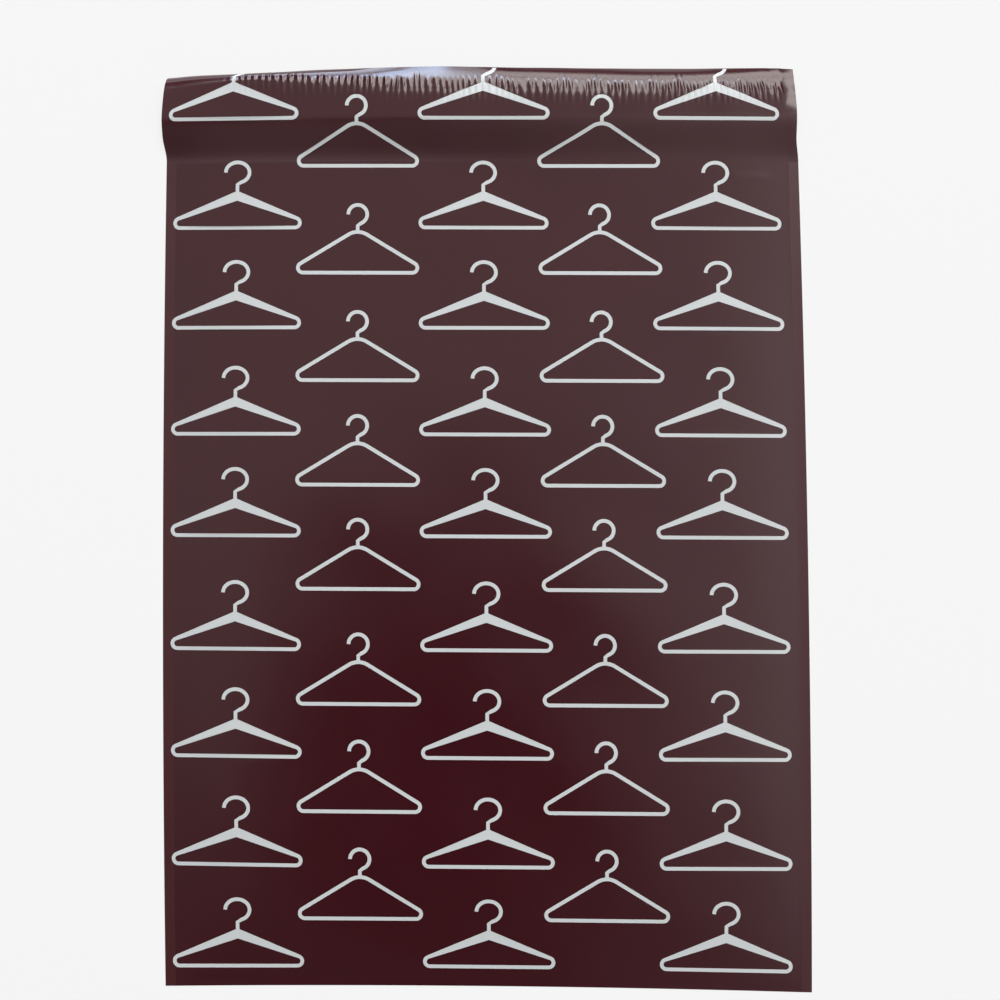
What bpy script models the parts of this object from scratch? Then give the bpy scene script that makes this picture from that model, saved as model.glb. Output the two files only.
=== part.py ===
"""Poly mailer bag, empty and lying on a table with its flap open.

One web of printed plastic film is folded across the bottom and welded along both
sides, which leaves a flat pocket with one mouth. The printed panel is the longer
one: past the mouth it runs on as the flap, which arches up and curls back down to
the table. A strip of adhesive and its release liner lie on the flap's hidden face.

Units are metres. X runs across the bag, Y from the bottom fold to the flap and Z up.
The origin is the middle of the bag's footprint, on the table.
"""

import math

import bpy
import numpy as np
from mathutils.geometry import delaunay_2d_cdt

MM = 0.001

# The web of film
WIDTH = 0.254
POUCH_LENGTH = 0.325
FLAP_LENGTH = 0.038
FILM = 0.00006
SEAM_WIDTH = 0.004
FOLD_BAND = 0.001

# How the empty pouch lies
LOFT = 0.0022
MOUTH_GAP = 0.0012
LOFT_RUN = 0.075
MOUTH_RUN = 0.090
FULLNESS = 9.0
SIDE_PULL = 0.0013
BOTTOM_PULL = 0.0012
BOTTOM_PULL_RUN = 0.060
OUT_OF_SQUARE = 0.0033

# How the open flap arches, read at stations from the left edge (-1) to the right (1)
RISE_LENGTH = 0.018
DRIFT_RUN = 0.010
FLAP_TAPER = 0.0008
TAPER_START = 0.020
CORNER_PULL = 0.0012
STATIONS = (-1.0, -0.72, -0.42, -0.12, 0.10, 0.34, 0.62, 1.0)
CREST_HEIGHTS = (0.0060, 0.0054, 0.0061, 0.0066, 0.0064, 0.0054, 0.0047, 0.0039)
EDGE_HEIGHTS = (0.0009, 0.0013, 0.0029, 0.0044, 0.0035, 0.0021, 0.0014, 0.0014)
CURL_STARTS = (0.027, 0.031, 0.026, 0.020, 0.020, 0.020, 0.020, 0.020)
CURL_POWERS = (1.5, 1.3, 1.8, 1.5, 2.1, 1.8, 2.2, 1.6)
LEFT_DRIFTS = (0.0010, 0.0013, 0.0, -0.0002, -0.0004, -0.0012, -0.0010, 0.0010)
STEEPEST = math.radians(125)

# The adhesive strip and its liner, measured from the flap's free edge
STRIP_INSET = 0.007
STRIP_WIDTH = 0.011
STRIP_END = 0.008
STRIP_THICKNESS = 0.00008
LINER_OVERHANG = 0.0025
LINER_END = 0.004
LINER_THICKNESS = 0.00006
SEAT_GAP = 0.00028

# The gathers that the adhesive draws into the film
GATHER_PITCH = 0.0028
GATHER_DEPTH = 0.00018
GATHER_FADE = 0.0028
GATHER_EVENNESS = 0.55

# The print: clothes hangers in five columns, every other column half a row lower
COLUMN_PITCH = 0.0479
MIDDLE_COLUMN = -0.0013
ROW_PITCH = 0.0419
FIRST_ROW = 0.0071
HALF_DROP = 0.0189
PRINT_MARGIN = 0.0003

# How far each column and row stands off its even step, in millimetres
COLUMN_ERRORS = (-0.9, -0.4, 2.0, 0.4, -1.0)
DEEP_ROW_ERRORS = (0.0, -2.3, -2.1, -2.1, 0.5, -1.3, -1.0, -2.9, -1.5)
EVEN_ROW_ERRORS = (0.0, -0.1, -0.3, 2.7, 1.7, 1.1, 2.0, 3.0, 2.6)

# The hanger with deep shoulders, and the one drawn with an even line
DEEP_SPAN = 0.0519
DEEP_APEX = 0.0154
DEEP_SHOULDER = 0.0039
DEEP_END_RADIUS = 0.00265
DEEP_APEX_RADIUS = 0.0005
DEEP_NOTCH_RADIUS = 0.0002
DEEP_HOOK = (0.0048, 0.0041)
DEEP_HOOK_HEIGHT = 0.0228
EVEN_SPAN = 0.0491
EVEN_APEX = 0.0178
EVEN_END_RADIUS = 0.0027
EVEN_APEX_RADIUS = 0.0078
EVEN_HOOK = (0.0038, 0.0038)
EVEN_HOOK_HEIGHT = 0.0241
HOOK_START = math.radians(180)
HOOK_END = math.radians(-70)
LINE = 0.00145

# How finely the surfaces are laid out
POUCH_CELL = 0.0165
SIDE_DIP = 0.0065
FLAP_CELL = 0.0062
STRIP_CELL = 0.0032
RISE_ROWS = (0.17, 0.34, 0.50, 0.66, 0.83, 1.0)
CURL_ROWS = (0.25, 0.5, 0.72, 0.88)
BEND_SAMPLES = 64
ARC_STEPS = 4
HOOK_STEPS = 7
SHARP_EDGE = math.radians(50)

FREE_EDGE = POUCH_LENGTH + FLAP_LENGTH
POCKET_HALF = WIDTH / 2 - SEAM_WIDTH
STRIP_FAR = FREE_EDGE - STRIP_INSET
STRIP_NEAR = STRIP_FAR - STRIP_WIDTH


def clear_scene():
    for item in list(bpy.data.objects):
        bpy.data.objects.remove(item)


def plastic(name, colour, roughness, coat=0.0):
    """A Principled material. The colour is linear red, green and blue."""
    material = bpy.data.materials.new(name)
    material.use_nodes = True
    shader = material.node_tree.nodes["Principled BSDF"]
    shader.inputs["Base Color"].default_value = (*colour, 1.0)
    shader.inputs["Roughness"].default_value = roughness
    shader.inputs["Metallic"].default_value = 0.0
    shader.inputs["Coat Weight"].default_value = coat
    material.diffuse_color = (*colour, 1.0)
    return material


def smooth(value):
    """0 below 0, 1 above 1 and an S-curve between."""
    held = np.clip(value, 0.0, 1.0)
    return held * held * (3.0 - 2.0 * held)


def along_width(values, across):
    """A soft curve through one value for each station, read at a place across the bag."""
    stations = np.array(STATIONS)
    values = np.array(values)
    place = np.clip(2.0 * across / WIDTH, stations[0], stations[-1])
    slopes = np.gradient(values, stations)
    index = np.clip(np.searchsorted(stations, place) - 1, 0, len(stations) - 2)
    span = stations[index + 1] - stations[index]
    share = (place - stations[index]) / span
    bump = share * share * (3.0 - 2.0 * share)
    leaving = share * (1.0 - share) ** 2 * span * slopes[index]
    arriving = share * share * (share - 1.0) * span * slopes[index + 1]
    return values[index] * (1.0 - bump) + values[index + 1] * bump + leaving + arriving


def pocket_gap(across, along):
    """How far the printed panel stands off the lower one inside the pocket."""
    side = 1.0 - np.clip(np.abs(across) / POCKET_HALF, 0.0, 1.0) ** FULLNESS
    from_fold = np.clip((along - FOLD_BAND) / LOFT_RUN, 0.0, 1.0)
    body = LOFT * (1.0 - (1.0 - from_fold) ** 2)
    to_mouth = smooth((along - POUCH_LENGTH + MOUTH_RUN) / MOUTH_RUN)
    return side * (body + (MOUTH_GAP - body) * to_mouth)


def turn_for(climb, length, weights):
    """The greatest angle of a film that climbs this far over this length of itself."""
    low = np.zeros_like(climb)
    high = np.full_like(climb, STEEPEST)
    for _ in range(40):
        middle = (low + high) / 2.0
        short = length * np.sin(middle * weights).mean(axis=0) < climb
        low = np.where(short, middle, low)
        high = np.where(short, high, middle)
    return (low + high) / 2.0


def climbing(share):
    """How the rise is shared out: it sets in, holds and dies away."""
    return 1.0 - np.abs(2.0 * share - 1.0) ** 3


def curling(past, start, power):
    """How far the curl has come at a distance past the mouth: 0 to its start, 1 at the edge."""
    return np.clip((past - start) / (FLAP_LENGTH - start), 0.0, 1.0) ** power


def flap_angle(run, turn_up, turn_down, start, power):
    """The film's slope at a distance past the mouth: up, level over the crest, then down."""
    rising = np.clip(run / RISE_LENGTH, 0.0, 1.0)
    return turn_up * climbing(rising) - turn_down * curling(run, start, power)


def flap_bend(across, run):
    """The flap's reach and rise past the mouth, and its slope. The film keeps its length."""
    samples = (np.arange(BEND_SAMPLES)[:, None] + 0.5) / BEND_SAMPLES
    base = 2.0 * FILM + pocket_gap(across, POUCH_LENGTH)
    crest = along_width(CREST_HEIGHTS, across)
    edge = along_width(EDGE_HEIGHTS, across)
    start = along_width(CURL_STARTS, across)
    power = along_width(CURL_POWERS, across)
    turn_up = turn_for(crest - base, RISE_LENGTH, climbing(samples))
    turn_down = turn_for(crest - edge, FLAP_LENGTH, curling(FLAP_LENGTH * samples, start, power))
    slopes = flap_angle(run * samples, turn_up, turn_down, start, power)
    reach = run * np.cos(slopes).mean(axis=0)
    rise = run * np.sin(slopes).mean(axis=0)
    return reach, rise, flap_angle(run, turn_up, turn_down, start, power)


def gathers(across, along):
    """The small folds that run up and down across the adhesive strip."""
    place = across / GATHER_PITCH
    ridge = np.abs(2.0 * (place - np.floor(place + 0.5))) * 2.0 - 1.0
    waver = (2.0 * np.sin(place * 0.83) + np.sin(place * 2.17 + 1.0)) / 3.0
    uneven = GATHER_EVENNESS + (1.0 - GATHER_EVENNESS) * waver
    from_end = (WIDTH / 2 - STRIP_END - np.abs(across)) / GATHER_FADE
    inside = np.clip(from_end, 0.0, 1.0)
    inside = inside * np.clip((along - STRIP_NEAR) / GATHER_FADE, 0.0, 1.0)
    inside = inside * np.clip((STRIP_FAR - along) / GATHER_FADE, 0.0, 1.0)
    return GATHER_DEPTH * ridge * uneven * inside


def plan(across, along):
    """Where a place on the web lies on the table, seen from above, if it stays flat."""
    from_middle = np.clip(2.0 * along / POUCH_LENGTH - 1.0, -1.0, 1.0)
    x = across * (1.0 - 2.0 * SIDE_PULL / WIDTH * from_middle**2)
    past = np.maximum(along - POUCH_LENGTH, 0.0)
    x = x - along_width(LEFT_DRIFTS, across) * smooth(past / DRIFT_RUN)
    curled = smooth((past - TAPER_START) / (FLAP_LENGTH - TAPER_START))
    x = x - 2.0 * FLAP_TAPER / WIDTH * across * curled
    near_fold = np.clip(1.0 - along / BOTTOM_PULL_RUN, 0.0, 1.0) ** 2
    pulled = BOTTOM_PULL * (1.0 - (2.0 * across / WIDTH) ** 2) * near_fold
    near_corner = np.clip(-2.0 * across / WIDTH, 0.0, 1.0) ** 6 * smooth(past / FLAP_LENGTH)
    drawn_in = CORNER_PULL * near_corner
    return x + drawn_in, along + pulled - drawn_in - OUT_OF_SQUARE * across / WIDTH


def printed_panel(across, along, depth=0.0, gathered=True):
    """Points at a depth under the printed face, for places on the web."""
    run = np.maximum(along - POUCH_LENGTH, 0.0)
    reach, rise, slope = flap_bend(across, run)
    x, y = plan(across, along)
    y = y - run + reach
    z = 2.0 * FILM + pocket_gap(across, np.minimum(along, POUCH_LENGTH)) + rise
    if gathered:
        z = z + gathers(across, along)
    return np.column_stack([x, y + depth * np.sin(slope), z - depth * np.cos(slope)])


def rounded(corners, radii):
    """A closed outline with an arc at each corner. Corners run anticlockwise."""
    outline = []
    for i, corner in enumerate(corners):
        corner = np.array(corner)
        back = np.array(corners[i - 1]) - corner
        ahead = np.array(corners[(i + 1) % len(corners)]) - corner
        back = back / np.linalg.norm(back)
        ahead = ahead / np.linalg.norm(ahead)
        half = math.acos(np.clip(back @ ahead, -1.0, 1.0)) / 2.0
        bisector = (back + ahead) / np.linalg.norm(back + ahead)
        centre = corner + bisector * radii[i] / math.sin(half)
        swing = math.pi - 2.0 * half
        first = math.atan2(-bisector[1], -bisector[0]) - swing / 2.0
        for step in range(ARC_STEPS + 1):
            angle = first + swing * step / ARC_STEPS
            outline.append(centre + radii[i] * np.array([math.cos(angle), math.sin(angle)]))
    return outline


def stroke(path, width):
    """The outline of a line of this width drawn along an open path."""
    path = np.array(path)
    ahead = np.gradient(path, axis=0)
    ahead = ahead / np.linalg.norm(ahead, axis=1)[:, None]
    aside = np.column_stack([-ahead[:, 1], ahead[:, 0]]) * width / 2.0
    return list(path - aside) + list((path + aside)[::-1])


def hook(radii, height, foot):
    """A hanger's hook: most of a turn round a centre, then straight down to the foot."""
    turns = np.linspace(HOOK_START, HOOK_END, HOOK_STEPS + 1)
    path = [(radii[0] * math.cos(a), height + radii[1] * math.sin(a)) for a in turns]
    path.append((0.0, height - radii[1] - LINE / 2))
    path.append((0.0, foot))
    return stroke(path, LINE)


def triangle(half_span, base, apex, end_radius, apex_radius):
    """A low triangle with round ends. The half span is measured to the round ends."""
    slope = math.atan2(apex - base, half_span)
    for _ in range(20):
        corner = half_span + end_radius / math.tan(slope / 2.0) - end_radius
        top = apex + apex_radius * (1.0 / math.cos(slope) - 1.0)
        slope = math.atan2(top - base, corner)
    corners = [(-corner, base), (corner, base), (0.0, top)]
    return rounded(corners, (end_radius, end_radius, apex_radius))


def deep_hanger():
    """Ink and bare outlines of the hanger with deep shoulders. Its bar stands at 0."""
    half = DEEP_SPAN / 2
    outer = triangle(half, 0.0, DEEP_APEX, DEEP_END_RADIUS, DEEP_APEX_RADIUS)
    inner = DEEP_APEX - DEEP_SHOULDER
    notch = (DEEP_END_RADIUS - LINE, DEEP_NOTCH_RADIUS)
    bare = triangle(half - LINE, LINE, inner, *notch)
    return [outer, hook(DEEP_HOOK, DEEP_HOOK_HEIGHT, inner + DEEP_SHOULDER / 2)], [bare]


def even_hanger():
    """Ink and bare outlines of the hanger drawn with an even line."""
    half = EVEN_SPAN / 2
    outer = triangle(half, 0.0, EVEN_APEX, EVEN_END_RADIUS, EVEN_APEX_RADIUS)
    inner = EVEN_APEX - LINE
    radii = (EVEN_END_RADIUS - LINE, EVEN_APEX_RADIUS - LINE)
    bare = triangle(half - LINE, LINE, inner, *radii)
    return [outer, hook(EVEN_HOOK, EVEN_HOOK_HEIGHT, inner + LINE / 2)], [bare]


def cut(outline, axis, sign, limit):
    """The part of an outline on the near side of one straight line."""
    kept = []
    for i, point in enumerate(outline):
        before = outline[i - 1]
        inside = sign * point[axis] <= sign * limit
        if inside != (sign * before[axis] <= sign * limit):
            share = (limit - before[axis]) / (point[axis] - before[axis])
            kept.append(before + share * (point - before))
        if inside:
            kept.append(point)
    return kept


def on_web(outlines, middle, bar):
    """Hanger outlines moved to their place on the web and cut at the print's margin."""
    side = WIDTH / 2 - PRINT_MARGIN
    placed = []
    for outline in outlines:
        moved = [point + np.array([middle, bar]) for point in outline]
        for axis, sign, limit in (
            (0, 1, side),
            (0, -1, -side),
            (1, 1, FREE_EDGE - PRINT_MARGIN),
            (1, -1, PRINT_MARGIN),
        ):
            moved = cut(moved, axis, sign, limit) if moved else moved
        if len(moved) > 2:
            placed.append(moved)
    return placed


def hanger_print():
    """Every ink outline and every bare outline of the print, on the web."""
    ink, bare = [], []
    deep = (deep_hanger(), FIRST_ROW, DEEP_ROW_ERRORS)
    even = (even_hanger(), FIRST_ROW + HALF_DROP, EVEN_ROW_ERRORS)
    side = int((WIDTH - DEEP_SPAN) / 2 / COLUMN_PITCH)
    rows = int(FREE_EDGE / ROW_PITCH) + 1
    for column in range(-side, side + 1):
        error = COLUMN_ERRORS[(column + 2) % len(COLUMN_ERRORS)]
        middle = MIDDLE_COLUMN + column * COLUMN_PITCH + error * MM
        outlines, first, row_errors = even if column % 2 else deep
        for row in range(rows):
            bar = first + row * ROW_PITCH + row_errors[row % len(row_errors)] * MM
            ink += on_web(outlines[0], middle, bar)
            bare += on_web(outlines[1], middle, bar)
    return ink, bare


def spaced(first, last, cell):
    """Even steps from first to last, none longer than the cell."""
    return np.linspace(first, last, max(1, math.ceil((last - first) / cell - 1e-6)) + 1)


def web_lines():
    """The rows of the web's layout, each with the places that it crosses."""
    half = WIDTH / 2
    seams = [-half, -POCKET_HALF, POCKET_HALF, half]
    inner = spaced(-POCKET_HALF, POCKET_HALF, POUCH_CELL)
    dips = [SIDE_DIP - POCKET_HALF, POCKET_HALF - SIDE_DIP]
    pouch = np.union1d(seams + dips, inner)
    flap = np.union1d(seams, spaced(-POCKET_HALF, POCKET_HALF, FLAP_CELL))
    strip_half = WIDTH / 2 - STRIP_END
    count = math.floor(strip_half / (GATHER_PITCH / 2))
    folds = np.arange(-count, count + 1) * GATHER_PITCH / 2
    lines = [(0.0, pouch)]
    lines += [(along, pouch) for along in spaced(FOLD_BAND, POUCH_LENGTH, POUCH_CELL)[:-1]]
    lines.append((POUCH_LENGTH, flap))
    lines += [(POUCH_LENGTH + RISE_LENGTH * share, flap) for share in RISE_ROWS]
    band = (STRIP_NEAR, STRIP_NEAR + GATHER_FADE, STRIP_FAR - GATHER_FADE, STRIP_FAR)
    band_ends = [-half, -strip_half, strip_half, half]
    for along in band:
        lines.append((along, np.union1d(band_ends, folds)))
    middle = (STRIP_NEAR + STRIP_FAR) / 2
    lines.append((middle, np.union1d(band_ends, folds)))
    lines += [(STRIP_FAR + STRIP_INSET * share, flap) for share in CURL_ROWS]
    lines.append((FREE_EDGE, flap))
    return lines


def triangulate(points, edges, faces):
    """A constrained triangulation, worked in millimetres. Gives its places, its faces,
    the given faces that each lies in, and the given point at each place, if any."""
    flat = [(x / MM, y / MM) for x, y in points]
    found = delaunay_2d_cdt(flat, edges, faces, 0, 1e-5)
    given = [min(origins) if origins else None for origins in found[3]]
    places = np.array([tuple(point) for point in found[0]]) * MM
    for i, origin in enumerate(given):
        if origin is not None:
            places[i] = points[origin]
    return places, found[2], found[5], given


def web_layout():
    """The plain triangles of the whole web, before the print is laid on them."""
    points, edges = [], []
    for along, places in sorted(web_lines(), key=lambda line: line[0]):
        first = len(points)
        points += [(across, along) for across in places]
        edges += [(i, i + 1) for i in range(first, len(points) - 1)]
    sides = [-WIDTH / 2, -POCKET_HALF, POCKET_HALF, WIDTH / 2]
    for side in sides:
        last = FREE_EDGE if abs(side) > POCKET_HALF else POUCH_LENGTH
        chain = [i for i, p in enumerate(points) if abs(p[0] - side) < 1e-9]
        chain = [i for i in chain if points[i][1] <= last + 1e-9]
        edges += list(zip(chain[:-1], chain[1:]))
        if abs(side) < WIDTH / 2:
            inward = 1 if side < 0 else -1
            edges.append((chain[1], chain[2] + inward))
    places, faces, _, _ = triangulate(points, edges, [])
    return places, [list(face) for face in faces]


def lay_print(places, faces):
    """Splits the web's triangles along the print. Gives each new triangle, the plain
    triangle that it lies in, and whether it is ink, and each place's plain point."""
    ink, bare = hanger_print()
    points = [tuple(place) for place in places]
    rings = []
    for outline in ink + bare:
        rings.append(list(range(len(points), len(points) + len(outline))))
        points += [tuple(point) for point in outline]
    split, triangles, sources, given = triangulate(points, [], faces + rings)
    first_ink, first_bare = len(faces), len(faces) + len(ink)
    kept = []
    for triangle_points, origin in zip(triangles, sources):
        carriers = [i for i in origin if i < first_ink]
        if carriers:
            inked = any(first_ink <= i < first_bare for i in origin)
            opened = any(i >= first_bare for i in origin)
            kept.append((list(triangle_points), carriers[0], inked and not opened))
    plain = [i if i is not None and i < len(places) else None for i in given]
    return split, kept, plain


def on_facets(split, kept, places, faces, corners):
    """Puts the print's own corners on the plain triangles that carry them."""
    carrier = {}
    for triangle_points, source, _ in kept:
        for i in triangle_points:
            carrier.setdefault(i, source)
    solid = np.zeros((len(split), 3))
    for i, source in carrier.items():
        a, b, c = (places[j] for j in faces[source])
        sides = np.column_stack([b - a, c - a])
        share_b, share_c = np.linalg.solve(sides, split[i] - a)
        shares = np.array([1.0 - share_b - share_c, share_b, share_c])
        solid[i] = shares @ corners[faces[source]]
    return solid


class Shell:
    """Collects points and faces, and joins faces that name the same point."""

    def __init__(self):
        self.points = []
        self.index = {}
        self.faces = []
        self.materials = []

    def point(self, key, place):
        if key not in self.index:
            self.index[key] = len(self.points)
            self.points.append(tuple(float(value) for value in place))
        return self.index[key]

    def face(self, corners, material=0):
        self.faces.append(corners)
        self.materials.append(material)

    def make(self, name, materials, shift):
        mesh = bpy.data.meshes.new(name)
        moved = [tuple(np.array(point) + shift) for point in self.points]
        mesh.from_pydata(moved, [], self.faces)
        for material in materials:
            mesh.materials.append(material)
        mesh.polygons.foreach_set("material_index", self.materials)
        mesh.shade_smooth()
        mesh.set_sharp_from_angle(angle=SHARP_EDGE)
        made = bpy.data.objects.new(name, mesh)
        bpy.context.scene.collection.objects.link(made)
        return made


def on_line(value, line):
    return abs(value - line) < 1e-8


def boundary(faces):
    """The edges that belong to one triangle only, in the triangles' own direction."""
    seen = {}
    for a, b, c in faces:
        for edge in ((a, b), (b, c), (c, a)):
            seen[edge] = True
    return [edge for edge in seen if (edge[1], edge[0]) not in seen]


def flat_sheet(places, faces):
    """The outline of some triangles, filled again with as few triangles as it needs."""
    edges = boundary(faces)
    used = sorted({i for edge in edges for i in edge})
    new = {old: i for i, old in enumerate(used)}
    ring = [used[0]]
    onward = dict(edges)
    while onward[ring[-1]] != ring[0]:
        ring.append(onward[ring[-1]])
    points = [tuple(places[i]) for i in used]
    _, filled, sources, given = triangulate(points, [], [[new[i] for i in ring]])
    found = [face for face, origin in zip(filled, sources) if origin]
    return [[used[given[i]] for i in face] for face in found]


def build_film():
    """The web: printed face, lining, lower panel and every cut edge, as one solid."""
    places, faces = web_layout()
    across, along = places[:, 0], places[:, 1]
    printed = printed_panel(across, along)
    lining = printed_panel(across, along, FILM)
    x, y = plan(across, along)
    middles = places[np.array(faces)].mean(axis=1)
    in_flap = middles[:, 1] > POUCH_LENGTH
    in_pocket = (np.abs(middles[:, 0]) < POCKET_HALF) & (middles[:, 1] > FOLD_BAND)
    in_pocket &= ~in_flap
    welded = {
        i
        for i in range(len(places))
        if along[i] < POUCH_LENGTH + 1e-9
        and (abs(across[i]) > POCKET_HALF - 1e-9 or along[i] < FOLD_BAND + 1e-9)
    }
    shell = Shell()

    def top(i):
        return shell.point(("print", i), printed[i])

    def under(i):
        place = (x[i], y[i], FILM) if i in welded else lining[i]
        return shell.point(("lining", i), place)

    def floor(i):
        key = ("lining", i) if i in welded else ("floor", i)
        return shell.point(key, (x[i], y[i], FILM))

    def table(i):
        return shell.point(("table", i), (x[i], y[i], 0.0))

    split, kept, plain = lay_print(places, faces)
    laid = on_facets(split, kept, places, faces, printed)
    for corners, _, inked in kept:
        ring = [
            shell.point(("ink", i), laid[i]) if plain[i] is None else top(plain[i])
            for i in corners
        ]
        shell.face(ring, 1 if inked else 0)

    pocket = [face for face, inside in zip(faces, in_pocket) if inside]
    flap = [face for face, inside in zip(faces, in_flap) if inside]
    pouch = [face for face, inside in zip(faces, in_flap) if not inside]
    for face in pocket + flap:
        shell.face([under(i) for i in reversed(face)], 2)
    for face in flat_sheet(places, pocket):
        shell.face([floor(i) for i in face], 2)
    for face in flat_sheet(places, pouch):
        shell.face([table(i) for i in reversed(face)], 0)

    def edge_down(i, foot):
        mouth_end = on_line(along[i], POUCH_LENGTH) and foot is table
        return [under(i), table(i)] if mouth_end else [foot(i)]

    for a, b in boundary(faces):
        foot = table if max(along[a], along[b]) < POUCH_LENGTH + 1e-9 else under
        shell.face([top(b), top(a), *edge_down(a, foot), *reversed(edge_down(b, foot))], 0)
    for a, b in boundary(pouch):
        if on_line(along[a], POUCH_LENGTH) and on_line(along[b], POUCH_LENGTH):
            inner = floor if max(abs(across[a]), abs(across[b])) < POCKET_HALF + 1e-9 else under
            shell.face([inner(b), inner(a), table(a), table(b)], 0)
    return shell


def build_band(half_length, near, far, depth, thickness):
    """A thin strip that follows the flap's hidden face at a depth under the print."""
    columns = spaced(-half_length, half_length, FLAP_CELL)
    rows = spaced(near, far, STRIP_CELL)
    across, along = (grid.ravel() for grid in np.meshgrid(columns, rows))
    upper = printed_panel(across, along, depth, gathered=False)
    lower = printed_panel(across, along, depth + thickness, gathered=False)
    shell = Shell()
    count, last = len(columns), len(rows) - 1

    def corner(layer, row, column):
        i = row * count + column
        return shell.point((layer, i), (upper, lower)[layer][i])

    for row in range(last):
        for column in range(count - 1):
            quad = [(row, column), (row, column + 1), (row + 1, column + 1), (row + 1, column)]
            shell.face([corner(0, *place) for place in quad])
            shell.face([corner(1, *place) for place in reversed(quad)])
    rim = [(0, column) for column in range(count)]
    rim += [(row, count - 1) for row in range(1, last + 1)]
    rim += [(last, column) for column in range(count - 2, -1, -1)]
    rim += [(row, 0) for row in range(last - 1, 0, -1)]
    for start, end in zip(rim, rim[1:] + rim[:1]):
        ring = [corner(0, *end), corner(0, *start), corner(1, *start), corner(1, *end)]
        shell.face(ring)
    return shell


def main():
    clear_scene()
    film = plastic("maroon polyethylene film", (0.050, 0.010, 0.012), 0.28, 0.3)
    ink = plastic("white printing ink", (0.66, 0.70, 0.69), 0.42)
    lining = plastic("grey film lining", (0.055, 0.052, 0.055), 0.45)
    adhesive = plastic("hot-melt adhesive", (0.80, 0.76, 0.62), 0.22)
    liner = plastic("clear release liner", (0.72, 0.74, 0.76), 0.25)

    web = build_film()
    corners = np.array(web.points)
    low, high = corners.min(axis=0), corners.max(axis=0)
    shift = np.array([-(low[0] + high[0]) / 2, -(low[1] + high[1]) / 2, 0.0])
    web.make("mailer_film", [film, ink, lining], shift)

    strip_depth = FILM + SEAT_GAP
    strip_half = WIDTH / 2 - STRIP_END
    strip = build_band(strip_half, STRIP_NEAR, STRIP_FAR, strip_depth, STRIP_THICKNESS)
    strip.make("adhesive_strip", [adhesive], shift)

    liner_depth = strip_depth + STRIP_THICKNESS + SEAT_GAP
    near, far = STRIP_NEAR - LINER_OVERHANG, STRIP_FAR + LINER_OVERHANG
    cover = build_band(WIDTH / 2 - LINER_END, near, far, liner_depth, LINER_THICKNESS)
    cover.make("release_liner", [liner], shift)


main()
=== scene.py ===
"""Poly mailer bag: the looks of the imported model.

One web of printed polyethylene film is folded across the bottom and welded along both
sides. The printed panel runs on past the mouth as the flap, which arches up and curls
back to the table over a strip of adhesive and its release liner. The film pieces here
repeat the model's own curves, in fine cells, with the small folds that the adhesive
draws into the flap.

Units are metres. X runs across the bag, Y from the bottom fold to the flap and Z up.
"""

import math

import bpy
import numpy as np
from mathutils.geometry import delaunay_2d_cdt
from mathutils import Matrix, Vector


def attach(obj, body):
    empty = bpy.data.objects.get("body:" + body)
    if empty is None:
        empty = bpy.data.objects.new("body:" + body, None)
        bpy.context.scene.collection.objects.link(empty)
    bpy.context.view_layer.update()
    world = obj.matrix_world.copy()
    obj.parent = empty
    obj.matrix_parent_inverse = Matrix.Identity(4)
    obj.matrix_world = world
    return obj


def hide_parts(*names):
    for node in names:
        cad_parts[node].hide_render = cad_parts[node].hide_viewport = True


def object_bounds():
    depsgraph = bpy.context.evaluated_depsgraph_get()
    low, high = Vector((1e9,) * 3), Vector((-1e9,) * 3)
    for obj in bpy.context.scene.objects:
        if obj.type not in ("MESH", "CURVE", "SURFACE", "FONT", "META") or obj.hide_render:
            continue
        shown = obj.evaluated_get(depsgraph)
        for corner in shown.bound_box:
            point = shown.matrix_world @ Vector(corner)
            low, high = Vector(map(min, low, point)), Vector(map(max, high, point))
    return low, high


MM = 0.001

# The web of film
WIDTH = 0.254
POUCH_LENGTH = 0.325
FLAP_LENGTH = 0.038
FILM = 0.00006
SEAM_WIDTH = 0.004
FOLD_BAND = 0.001

# How the empty pouch lies
LOFT = 0.0022
MOUTH_GAP = 0.0012
LOFT_RUN = 0.075
MOUTH_RUN = 0.090
FULLNESS = 9.0
SIDE_PULL = 0.0013
BOTTOM_PULL = 0.0012
BOTTOM_PULL_RUN = 0.060
OUT_OF_SQUARE = 0.0033

# How the open flap arches, read at stations from the left edge (-1) to the right (1)
RISE_LENGTH = 0.018
DRIFT_RUN = 0.010
FLAP_TAPER = 0.0008
TAPER_START = 0.020
CORNER_PULL = 0.0012
CORNER_SHARPNESS = 6
STATIONS = (-1.0, -0.72, -0.42, -0.12, 0.10, 0.34, 0.62, 1.0)
CREST_HEIGHTS = (0.0060, 0.0054, 0.0061, 0.0066, 0.0064, 0.0054, 0.0047, 0.0039)
EDGE_HEIGHTS = (0.0009, 0.0013, 0.0029, 0.0044, 0.0035, 0.0021, 0.0014, 0.0014)
CURL_STARTS = (0.027, 0.031, 0.026, 0.020, 0.020, 0.020, 0.020, 0.020)
CURL_POWERS = (1.5, 1.3, 1.8, 1.5, 2.1, 1.8, 2.2, 1.6)
LEFT_DRIFTS = (0.0010, 0.0013, 0.0, -0.0002, -0.0004, -0.0012, -0.0010, 0.0010)
STEEPEST = math.radians(125)

# The adhesive strip and its liner, measured from the flap's free edge
STRIP_INSET = 0.007
STRIP_WIDTH = 0.011
STRIP_END = 0.008
STRIP_THICKNESS = 0.00008
LINER_OVERHANG = 0.0025
LINER_END = 0.004
LINER_THICKNESS = 0.00006
SEAT_GAP = 0.00028

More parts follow.
